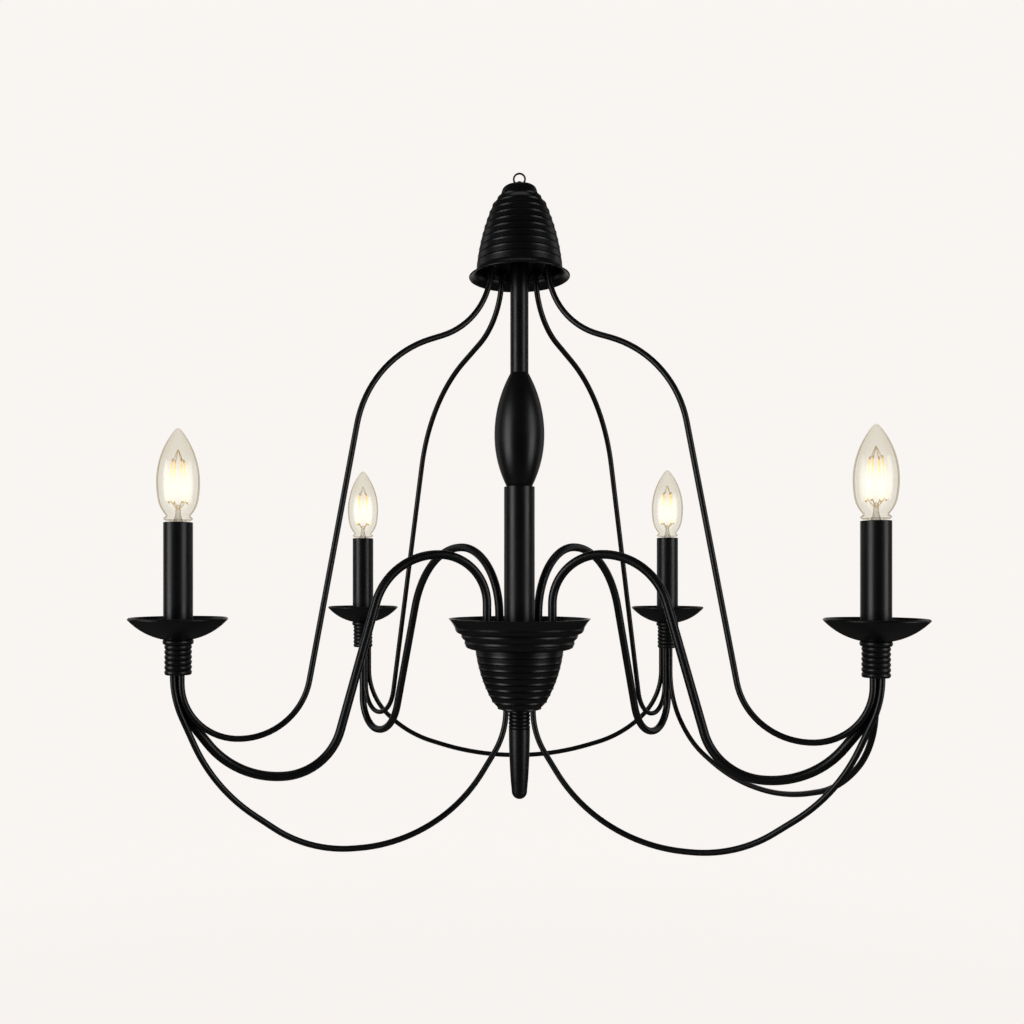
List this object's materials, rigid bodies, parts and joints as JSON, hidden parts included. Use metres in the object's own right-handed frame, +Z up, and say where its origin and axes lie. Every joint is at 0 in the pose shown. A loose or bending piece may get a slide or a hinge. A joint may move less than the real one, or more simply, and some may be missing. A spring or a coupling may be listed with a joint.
{
  "type": "multi arm chandelier",
  "caption": "Hanging candle chandelier: bent arms from a ribbed bowl on a central column carry candle lamps in drip dishes, braced and linked by thin swagged rods below a ribbed bell.",
  "frame": {"origin": "inside top of the hanging ring, where the ceiling hook or chain link bears, on the column's axis", "axes": "+Z up along the column; -Y towards the empty front station; +X to the viewer's right when seen from the front"},
  "size_m": [0.6516, 0.4164, 0.6079],
  "materials": {
    "black_paint": "satin black paint, slightly worn",
    "black_sleeve": "satin black paint on thin tube",
    "zinc_steel": "dull zinc plating",
    "black_plastic": "fine moulded texture",
    "white_plastic": "moulded, slightly glossy",
    "lead_insulation": "smooth PVC",
    "clear_glass": "clear blown glass",
    "cap_metal": "nickelled brass, rolled",
    "filament_glow": "phosphor strips on a glass mount"
  },
  "bodies": {
    "frame": {"ring_eye": "black_paint", "bell": "black_paint", "cord_grommet": "black_plastic", "rod_plate": "black_paint", "rod_nuts": "black_paint", "center_rod": "zinc_steel", "column_nuts": "black_paint", "upper_stem": "black_paint", "spindle": "black_paint", "lower_column": "black_paint", "arm_plate": "black_paint", "arm_nuts": "black_paint", "bowl_dish": "black_paint", "bowl_cup": "black_paint", "bottom_neck": "black_paint", "finial": "black_paint", "terminal_block": "white_plastic", "arm_leads": "lead_insulation", "front_left_swag": "black_paint", "front_right_swag": "black_paint", "side_right_swag": "black_paint", "back_swag": "black_paint", "front_left_arm": "black_paint", "front_left_upper_rod": "black_paint", "front_left_collar": "black_paint", "front_left_bobeche": "black_paint", "front_left_lampholder": "black_plastic", "front_left_sleeve": "black_sleeve", "front_right_arm": "black_paint", "front_right_upper_rod": "black_paint", "front_right_collar": "black_paint", "front_right_bobeche": "black_paint", "front_right_lampholder": "black_plastic", "front_right_sleeve": "black_sleeve", "back_left_arm": "black_paint", "back_left_upper_rod": "black_paint", "back_left_collar": "black_paint", "back_left_bobeche": "black_paint", "back_left_lampholder": "black_plastic", "back_left_sleeve": "black_sleeve", "back_right_arm": "black_paint", "back_right_upper_rod": "black_paint", "back_right_collar": "black_paint", "back_right_bobeche": "black_paint", "back_right_lampholder": "black_plastic", "back_right_sleeve": "black_sleeve"},
    "ring": {"hang_ring": "black_paint"},
    "front_left_bulb": {"front_left_bulb_glass": "clear_glass", "front_left_bulb_cap": "cap_metal", "front_left_bulb_filament": "filament_glow"},
    "front_right_bulb": {"front_right_bulb_glass": "clear_glass", "front_right_bulb_cap": "cap_metal", "front_right_bulb_filament": "filament_glow"},
    "back_left_bulb": {"back_left_bulb_glass": "clear_glass", "back_left_bulb_cap": "cap_metal", "back_left_bulb_filament": "filament_glow"},
    "back_right_bulb": {"back_right_bulb_glass": "clear_glass", "back_right_bulb_cap": "cap_metal", "back_right_bulb_filament": "filament_glow"}
  },
  "joints": [
    {"name": "ring_swing", "type": "hinge", "parent": "frame", "child": "ring", "pos_m": [0, 0, -0.00945], "axis": [1, 0, 0], "range_deg": [-90, 90]},
    {"name": "front_left_bulb_lift", "type": "slide", "parent": "frame", "child": "front_left_bulb", "axis": [0, 0, 1], "range_m": [0, 0.06]},
    {"name": "front_right_bulb_lift", "type": "slide", "parent": "frame", "child": "front_right_bulb", "axis": [0, 0, 1], "range_m": [0, 0.06]},
    {"name": "back_left_bulb_lift", "type": "slide", "parent": "frame", "child": "back_left_bulb", "axis": [0, 0, 1], "range_m": [0, 0.06]},
    {"name": "back_right_bulb_lift", "type": "slide", "parent": "frame", "child": "back_right_bulb", "axis": [0, 0, 1], "range_m": [0, 0.06]}
  ]
}
